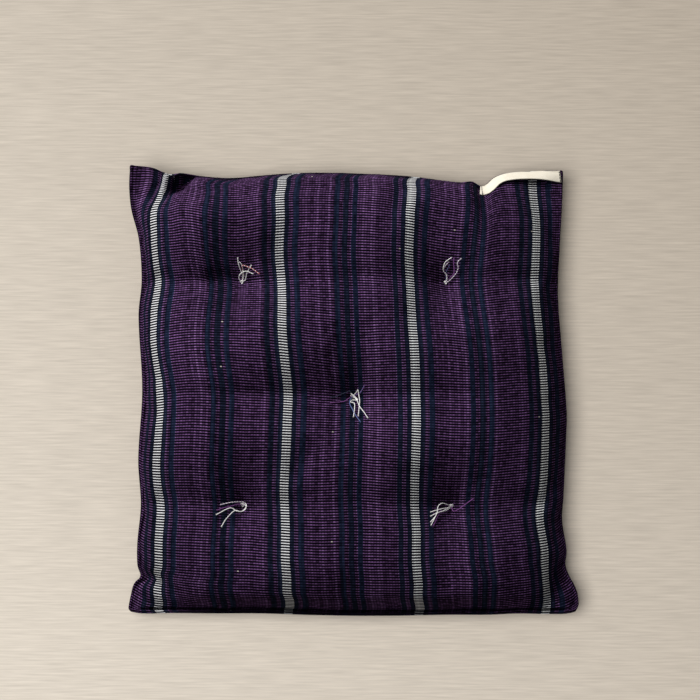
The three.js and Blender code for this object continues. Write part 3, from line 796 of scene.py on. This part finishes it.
def thread_mesh(name, tubes):
    """One mesh of several tubes, with the dye of each on its points."""
    points, faces, dyes = [], [], []
    start = 0
    for tube_points, tube_faces, dye in tubes:
        points.append(tube_points)
        faces += [tuple(start + i for i in face) for face in tube_faces]
        dyes += [DYE[dye]] * len(tube_points)
        start += len(tube_points)
    piece = new_mesh(name, np.concatenate(points), faces)
    attribute = piece.data.color_attributes.new("dye", "FLOAT_COLOR", "POINT")
    attribute.data.foreach_set("color", np.array(dyes, np.float32).ravel())
    return piece


def build_tie(tie, tree):
    """A tie: its knot in the dimple and its free ends, draped over the face."""
    x, y = tie["x"], tie["y"]
    tubes = twisted_thread(knot_line(x, y, height_over(tree, x, y) + KNOT["height"]), PALE, False)
    for dyes, rows in STRANDS[tie["name"]]:
        line = through([STRAND_START] + rows, THREAD["step"])
        line += (x, y, 0)
        lift = np.maximum(line[:, 2], THREAD["ply"] + THREAD["wind"])
        line[:, 2] = [height_over(tree, px, py) + up for (px, py), up in zip(line[:, :2], lift)]
        for _ in range(THREAD["ease"]):
            line[1:-1] = (line[:-2] + 2 * line[1:-1] + line[2:]) / 4
        tubes += twisted_thread(line, dyes, True)
    return thread_mesh(tie["name"] + "_thread", tubes)


def build_back_stitch(tie, tree):
    """The short stitch that a tie makes on the back."""
    half = BACK_STITCH["length"] / 2
    line = []
    for q in np.linspace(-1, 1, BACK_STITCH["steps"]):
        x = tie["x"] + half * q
        z = height_over(tree, x, tie["y"], -1) - BACK_STITCH["bow"] * (1 - q * q) + BACK_STITCH["sink"] * q**4
        line.append((x, tie["y"], z))
    return thread_mesh(tie["name"] + "_back_stitch", twisted_thread(np.array(line), PALE, False))


def tape_points(panel, tree):
    """The tape's underside: rows down from the seam, columns along it, and how far along and down each is."""
    line = grid_lines(GRID)
    along = np.linspace(0, 1, TAPE["stations"] + 1)
    s = TAPE["from"] + (TAPE["to"] - TAPE["from"]) * along
    seam = np.stack([np.interp(s, line, panel[-1, :, axis]) for axis in range(3)], -1)
    run = np.gradient(seam, axis=0)
    run[:, 2] = 0
    run /= np.linalg.norm(run, axis=1, keepdims=True)
    inward = np.stack([run[:, 1], -run[:, 0], np.zeros(len(run))], -1)
    tilt = np.radians(smooth_table(TAPE_TILT["at"], TAPE_TILT["degrees"], along))
    down = np.linspace(0, 1, TAPE["across"] + 1)
    rows = []
    for q in down:
        reach = TAPE["inset"] + TAPE["width"] * q
        place = seam + inward * (reach * np.cos(tilt))[:, None]
        belly = TAPE_LIFT["belly"] * np.sin(np.pi * q)
        place[:, 2] += TAPE_LIFT["start"] + TAPE["width"] * q * np.sin(tilt) + belly
        over = [height_over(tree, px, py) for px, py in place[:, :2]]
        place[:, 2] = np.maximum(place[:, 2], np.array(over) + TAPE_LIFT["clear"])
        rows.append(place)
    return smooth_grid(np.array(rows), TAPE_LIFT["ease"]), *np.meshgrid(along, down)


def build_tape(panel, tree):
    """The tape, sewn on at its top edge and its ends, with its lower edge free."""
    under, along, down = tape_points(panel, tree)
    out = -normals(under)
    over = under + TAPE["thickness"] * out
    rows, columns = under.shape[:2]
    below = rows * columns
    points = np.concatenate([over.reshape(-1, 3), under.reshape(-1, 3)])
    top = np.arange(below).reshape(rows, columns)
    border = np.concatenate([top[0, :-1], top[:-1, -1], top[-1, :0:-1], top[:0:-1, 0]])
    after = np.roll(border, -1)
    sides = np.stack([border, after, after + below, border + below], -1)
    faces = np.concatenate([grid_quads(top, True), grid_quads(top + below), sides])
    tape = new_mesh("woven_tape", points, faces.tolist())
    cloth = np.stack([along * TAPE_LENGTH, (1 - down) * TAPE["width"]], -1).reshape(-1, 2)
    add_uv(tape, "cloth", cloth[faces.ravel() % below])
    for polygon in tape.data.polygons:
        polygon.use_smooth = polygon.index < 2 * (rows - 1) * (columns - 1)
    return tape, over, out


def build_tape_stitches(over, out):
    """Dark stitches down both ends of the tape."""
    rows, columns = over.shape[:2]
    step = TAPE_LENGTH / (columns - 1)
    inset = round(STITCH["inset"] / step)
    spot = np.linspace(0, TAPE["width"], rows)
    q = np.linspace(-0.5, 0.5, STITCH["steps"])
    radii = STITCH["radius"] * np.sqrt(1 - (2 * q * STITCH["taper"]) ** 2)
    tubes = []
    for column in (inset, columns - 1 - inset):
        line = over[:, column] + STITCH["radius"] * STITCH["out"] * out[:, column]
        for k in range(STITCH["count"]):
            middle = TAPE["width"] * (k + 0.5) / STITCH["count"]
            down = middle + q * STITCH["length"]
            place = np.stack([np.interp(down, spot, line[:, axis]) for axis in range(3)], -1)
            tubes.append((*tube(place, radii, STITCH["sides"]), BLACK))
    return thread_mesh("tape_stitches", tubes)


class Nodes:
    """Short names for building a material's nodes."""

    def __init__(self, name):
        self.material = bpy.data.materials.new(name)
        self.material.use_nodes = True
        self.tree = self.material.node_tree
        self.shader = self.tree.nodes["Principled BSDF"]

    def add(self, kind, inputs=(), **settings):
        node = self.tree.nodes.new(kind)
        for key, value in settings.items():
            setattr(node, key, value)
        for key, value in dict(inputs).items():
            self.feed(node.inputs[key], value)
        return node

    def feed(self, socket, value):
        if isinstance(value, bpy.types.NodeSocket):
            self.tree.links.new(value, socket)
        else:
            socket.default_value = value

    def math(self, operation, *values):
        return self.add("ShaderNodeMath", enumerate(values), operation=operation).outputs[0]

    def times(self, *values):
        return self.math("MULTIPLY", *values)

    def mix(self, share, low, high, blend="MIX"):
        inputs = {0: share, 6: low, 7: high}
        return self.add("ShaderNodeMix", inputs, data_type="RGBA", blend_type=blend).outputs[2]

    def blend(self, share, low, high):
        return self.add("ShaderNodeMix", {0: share, 2: low, 3: high}, data_type="FLOAT").outputs[0]

    def ramp(self, share, stops, interpolation="LINEAR"):
        node = self.tree.nodes.new("ShaderNodeValToRGB")
        ramp = node.color_ramp
        ramp.interpolation = interpolation
        while len(ramp.elements) < len(stops):
            ramp.elements.new(0.5)
        for element, (place, colour) in zip(ramp.elements, stops):
            element.position = place
            element.color = colour
        self.feed(node.inputs[0], share)
        return node.outputs[0]

    def noise(self, vector, scale, detail=2.0, dimensions="2D"):
        inputs = {"Vector": vector, "Scale": scale, "Detail": detail}
        return self.add("ShaderNodeTexNoise", inputs, noise_dimensions=dimensions).outputs["Fac"]

    def vector(self, *values):
        return self.add("ShaderNodeCombineXYZ", enumerate(values)).outputs[0]

    def cloth(self):
        """The cloth coordinates, together and as the one across and the one up."""
        uv = self.add("ShaderNodeUVMap", uv_map="cloth").outputs[0]
        place = self.add("ShaderNodeSeparateXYZ", {"Vector": uv}).outputs
        return uv, place["X"], place["Y"]

    def steps(self, value, pitch):
        """Where a value lies within its step, and the number of the step."""
        step = self.math("DIVIDE", value, pitch)
        return self.math("FRACT", step), self.math("FLOOR", step)

    def off_middle(self, phase):
        return self.math("ABSOLUTE", self.math("SUBTRACT", phase, 0.5))

    def stretched(self, vector, scale, detail):
        """Noise that is stretched by a scale for each axis."""
        place = self.add("ShaderNodeMapping", {"Vector": vector, "Scale": scale}).outputs[0]
        return self.noise(place, 1.0, detail, "3D")

    def shade(self, colour, level):
        return self.mix(1.0, colour, self.vector(level, level, level), "MULTIPLY")

    def random(self, dimensions, inputs):
        return self.add("ShaderNodeTexWhiteNoise", inputs, noise_dimensions=dimensions).outputs["Value"]

    def bump(self, height, strength, distance):
        inputs = {"Height": height, "Strength": strength, "Distance": distance * MM}
        self.feed(self.shader.inputs["Normal"], self.add("ShaderNodeBump", inputs).outputs[0])

    def finish(self, inputs):
        for key, value in inputs.items():
            self.feed(self.shader.inputs[key], value)
        return self.material


def grey(value):
    return (value, value, value, 1.0)


# Colours of the yarns, as light that they scatter, where a rib lifts them and where they dip between ribs
YARN = {
    WHITE: (0.72, 0.715, 0.725, 1.0),
    NAVY: (0.0130, 0.0172, 0.0380, 1.0),
    INK: (0.0130, 0.0160, 0.0345, 1.0),
    PURPLE: (0.109, 0.049, 0.140, 1.0),
    PLUM: (0.116, 0.056, 0.150, 1.0),
}
DARK_YARN = {
    WHITE: (0.005, 0.005, 0.008, 1.0),
    NAVY: (0.004, 0.006, 0.015, 1.0),
    INK: (0.003, 0.004, 0.009, 1.0),
    PURPLE: (0.003, 0.002, 0.004, 1.0),
    PLUM: (0.003, 0.002, 0.004, 1.0),
}
# How alike the ends of a stripe look
EVENNESS = {WHITE: grey(0.8), NAVY: grey(0.3), INK: grey(0.3), PURPLE: grey(0.0), PLUM: grey(0.2)}
BOLD_END = (2.6, 3.2, 2.5, 1.0)
FLECK = (0.50, 0.46, 0.40, 1.0)
# The colour of the painted shadow in the seam's groove
SEAM_SHADOW_COLOUR = (0.004, 0.003, 0.006, 1.0)
# How brightness ranges from end to end, from rib to rib, from spot to spot, slowly over the cloth, and across
# one end
END_RANGE = (0.7, 1.3)
RIB_RANGE = (-0.08, 0.08)
SPOT_RANGE = (-0.4, 0.4)
SLOW_RANGE = (0.75, 1.25)
LOBE_RANGE = (0.4, 1.28)
# How rare the pale flecks are, and how wide in their end
FLECK_OVER = 0.9996
FLECK_HALF = 0.28
# The sizes of the tape's weave, in millimetres
PICK_PITCH = 0.42
WARP_PITCH = 0.36


def stripe_ramp(n, share, colours):
    total = sum(width for _, width in REPEAT)
    stops = []
    place = 0.0
    for kind, width in REPEAT:
        stops.append((place / total, colours[kind]))
        place += width
    return n.ramp(share, stops, "CONSTANT")


def cotton_material():
    """Warp-faced cotton: each rib is a row of coloured ends, then a row of dark ends half a step aside."""
    n = Nodes("striped cotton")
    uv, u, v = n.cloth()
    sway = n.times(n.math("SUBTRACT", n.noise(uv, 0.045), 0.5), 0.9)
    rib_phase, rib_number = n.steps(n.math("ADD", v, sway), RIB_PITCH)
    end_phase, end_number = n.steps(u, END_PITCH)
    row = n.off_middle(rib_phase)
    lit = n.ramp(row, [(0.09, grey(1)), (0.22, grey(0))])
    lobe = n.math("SINE", n.times(end_phase, math.pi))
    dark_lobe = n.math("ABSOLUTE", n.math("COSINE", n.times(end_phase, math.pi)))

    repeat_place = n.math("FRACT", n.math("DIVIDE", u, STRIPE_PITCH))
    bright, dark, even = [stripe_ramp(n, repeat_place, colours) for colours in (YARN, DARK_YARN, EVENNESS)]

    # Ends differ in dye, and ribs in how much of them shows
    end_dye = n.random("1D", {"W": end_number})
    rib_dye = n.random("1D", {"W": rib_number})
    spot = n.random("2D", {"Vector": n.vector(end_number, rib_number)})
    slow = n.noise(uv, 0.02, 3.0)
    bold = n.math("POWER", end_dye, 6.0)
    level = n.math("ADD", n.blend(end_dye, *END_RANGE), n.blend(rib_dye, *RIB_RANGE))
    level = n.math("ADD", level, n.blend(spot, *SPOT_RANGE))
    level = n.times(level, n.blend(slow, *SLOW_RANGE))
    lobed = n.blend(even, n.times(level, n.blend(lobe, *LOBE_RANGE)), 1.0)
    bright = n.mix(n.times(bold, 0.3), bright, n.mix(1.0, bright, BOLD_END, "MULTIPLY"))
    colour = n.mix(lit, n.shade(dark, level), n.shade(bright, lobed))
    speck = n.math("LESS_THAN", n.off_middle(end_phase), FLECK_HALF)
    fleck = n.times(n.times(n.math("GREATER_THAN", spot, FLECK_OVER), speck), lit)
    colour = n.mix(fleck, colour, FLECK)
    # Painted shadow in the seam's groove, from the seam attribute, weaker on the white stripes
    seam = n.add("ShaderNodeAttribute", attribute_name="seam").outputs["Fac"]
    sewn = n.times(seam, n.blend(even, 0.9, 0.3))
    colour = n.mix(sewn, colour, SEAM_SHADOW_COLOUR)

    hump = n.blend(lit, n.times(dark_lobe, 0.7), lobe)
    n.bump(n.times(n.ramp(row, [(0.0, grey(1)), (0.5, grey(0.2))]), hump), 0.7, 0.35)
    return n.finish({"Base Color": colour, "Roughness": 0.95, "Specular IOR Level": 0.02})


def thread_material():
    n = Nodes("tie thread")
    dye = n.add("ShaderNodeAttribute", attribute_name="dye").outputs["Color"]
    place = n.add("ShaderNodeTexCoord").outputs["Object"]
    fibre = n.noise(place, 1500.0, 2.0, "3D")
    colour = n.shade(dye, n.blend(fibre, 0.7, 1.25))
    n.bump(fibre, 0.5, 0.1)
    return n.finish({"Base Color": colour, "Roughness": 0.85, "Sheen Weight": 0.2})


def tape_material():
    n = Nodes("cream tape")
    uv, u, v = n.cloth()
    picks = n.math("SINE", n.times(u, 2 * math.pi / PICK_PITCH))
    warps = n.math("SINE", n.times(v, 2 * math.pi / WARP_PITCH))
    weave = n.times(picks, warps)
    slow = n.noise(uv, 0.12, 3.0)
    colour = n.mix(slow, (0.76, 0.69, 0.55, 1.0), (0.86, 0.80, 0.68, 1.0))
    colour = n.shade(colour, n.blend(weave, 0.93, 1.05))
    n.bump(weave, 0.4, 0.08)
    return n.finish({"Base Color": colour, "Roughness": 0.8, "Sheen Weight": 0.15})


def floor_material():
    n = Nodes("pale floor")
    place = n.add("ShaderNodeTexCoord").outputs["Object"]
    fine = n.stretched(place, (26.0, 560.0, 1.0), 4.0)
    wide = n.stretched(place, (1.2, 24.0, 1.0), 2.0)
    grain = n.times(n.blend(fine, 0.76, 1.24), n.blend(wide, 0.97, 1.03))
    parts = n.add("ShaderNodeSeparateXYZ", {"Vector": place}).outputs
    # Painted falloff of light over the floor, brighter at the lower left and dimmer at the upper right
    slant = n.math("ADD", parts["Y"], parts["X"])
    limits = {"Value": slant, "From Min": FLOOR["low"], "From Max": FLOOR["high"]}
    share = n.add("ShaderNodeMapRange", limits).outputs[0]
    colour = n.shade(n.mix(share, FLOOR["low_colour"], FLOOR["painted_dim_colour"]), grain)
    return n.finish({"Base Color": colour, "Roughness": 0.9, "Specular IOR Level": 0.2})


def add_floor():
    side = FLOOR["side"]
    corners = [(-side, -side, 0), (side, -side, 0), (side, side, 0), (-side, side, 0)]
    floor = new_mesh("floor", corners, [(0, 1, 2, 3)])
    floor.data.materials.append(floor_material())


def add_camera():
    tilt = VIEW["tilt"]
    aim = Vector((VIEW["x"], VIEW["y"], SEAM_HEIGHT))
    out = Vector((0, -math.sin(tilt), math.cos(tilt)))
    data = bpy.data.cameras.new("camera")
    data.lens = VIEW["lens"]
    data.sensor_width = VIEW["sensor"]
    data.clip_end = VIEW_END
    camera = bpy.data.objects.new("camera", data)
    camera.location = (aim + VIEW["distance"] * out) * MM
    camera.rotation_euler = (tilt, 0, 0)
    bpy.context.scene.collection.objects.link(camera)
    bpy.context.scene.camera = camera


def add_light(name, toward, distance, size, power, floor):
    """An area light in the direction toward from the cushion, facing it, for the floor or for all but it."""
    data = bpy.data.lights.new(name, "AREA")
    data.size = size
    data.energy = power
    light = bpy.data.objects.new(name, data)
    lit = bpy.data.collections.new("lit by the " + name)
    lit.objects.link(bpy.data.objects["floor"])
    lit.collection_objects[0].light_linking.link_state = floor
    light.light_linking.receiver_collection = lit
    direction = Vector(toward).normalized()
    light.location = direction * distance
    light.rotation_euler = direction.to_track_quat("Z", "Y").to_euler()
    bpy.context.scene.collection.objects.link(light)


def add_lights():
    for name, light in LIGHTS.items():
        add_light(name, **light)
    world = bpy.data.worlds.new("soft room")
    world.use_nodes = True
    background = world.node_tree.nodes["Background"]
    background.inputs["Color"].default_value = ROOM["colour"]
    background.inputs["Strength"].default_value = ROOM["strength"]
    bpy.context.scene.world = world


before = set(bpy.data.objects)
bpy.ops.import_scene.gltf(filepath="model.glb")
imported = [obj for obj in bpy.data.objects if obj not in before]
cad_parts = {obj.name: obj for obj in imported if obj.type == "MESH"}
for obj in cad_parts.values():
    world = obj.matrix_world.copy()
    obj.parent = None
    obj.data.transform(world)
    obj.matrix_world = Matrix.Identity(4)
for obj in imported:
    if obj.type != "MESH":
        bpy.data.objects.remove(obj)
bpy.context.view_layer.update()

add_camera()
add_floor()
add_lights()

panels, cut = cover_panels()
cover = build_cover(panels, cut)
finish_piece(cover, cotton_material(), "striped_cotton", "cushion")

tree = BVHTree.FromObject(cover, bpy.context.evaluated_depsgraph_get())
thread = thread_material()
for tie in TIES:
    finish_piece(build_tie(tie, tree), thread, "thread", tie["name"])
    finish_piece(build_back_stitch(tie, tree), thread, "thread")

tape, tape_face, tape_out = build_tape(panels[0], tree)
finish_piece(tape, tape_material(), "cream_tape", "tape")
stitches = build_tape_stitches(tape_face, tape_out)
finish_piece(stitches, thread, "thread")

bpy.context.scene.view_settings.view_transform = "Standard"
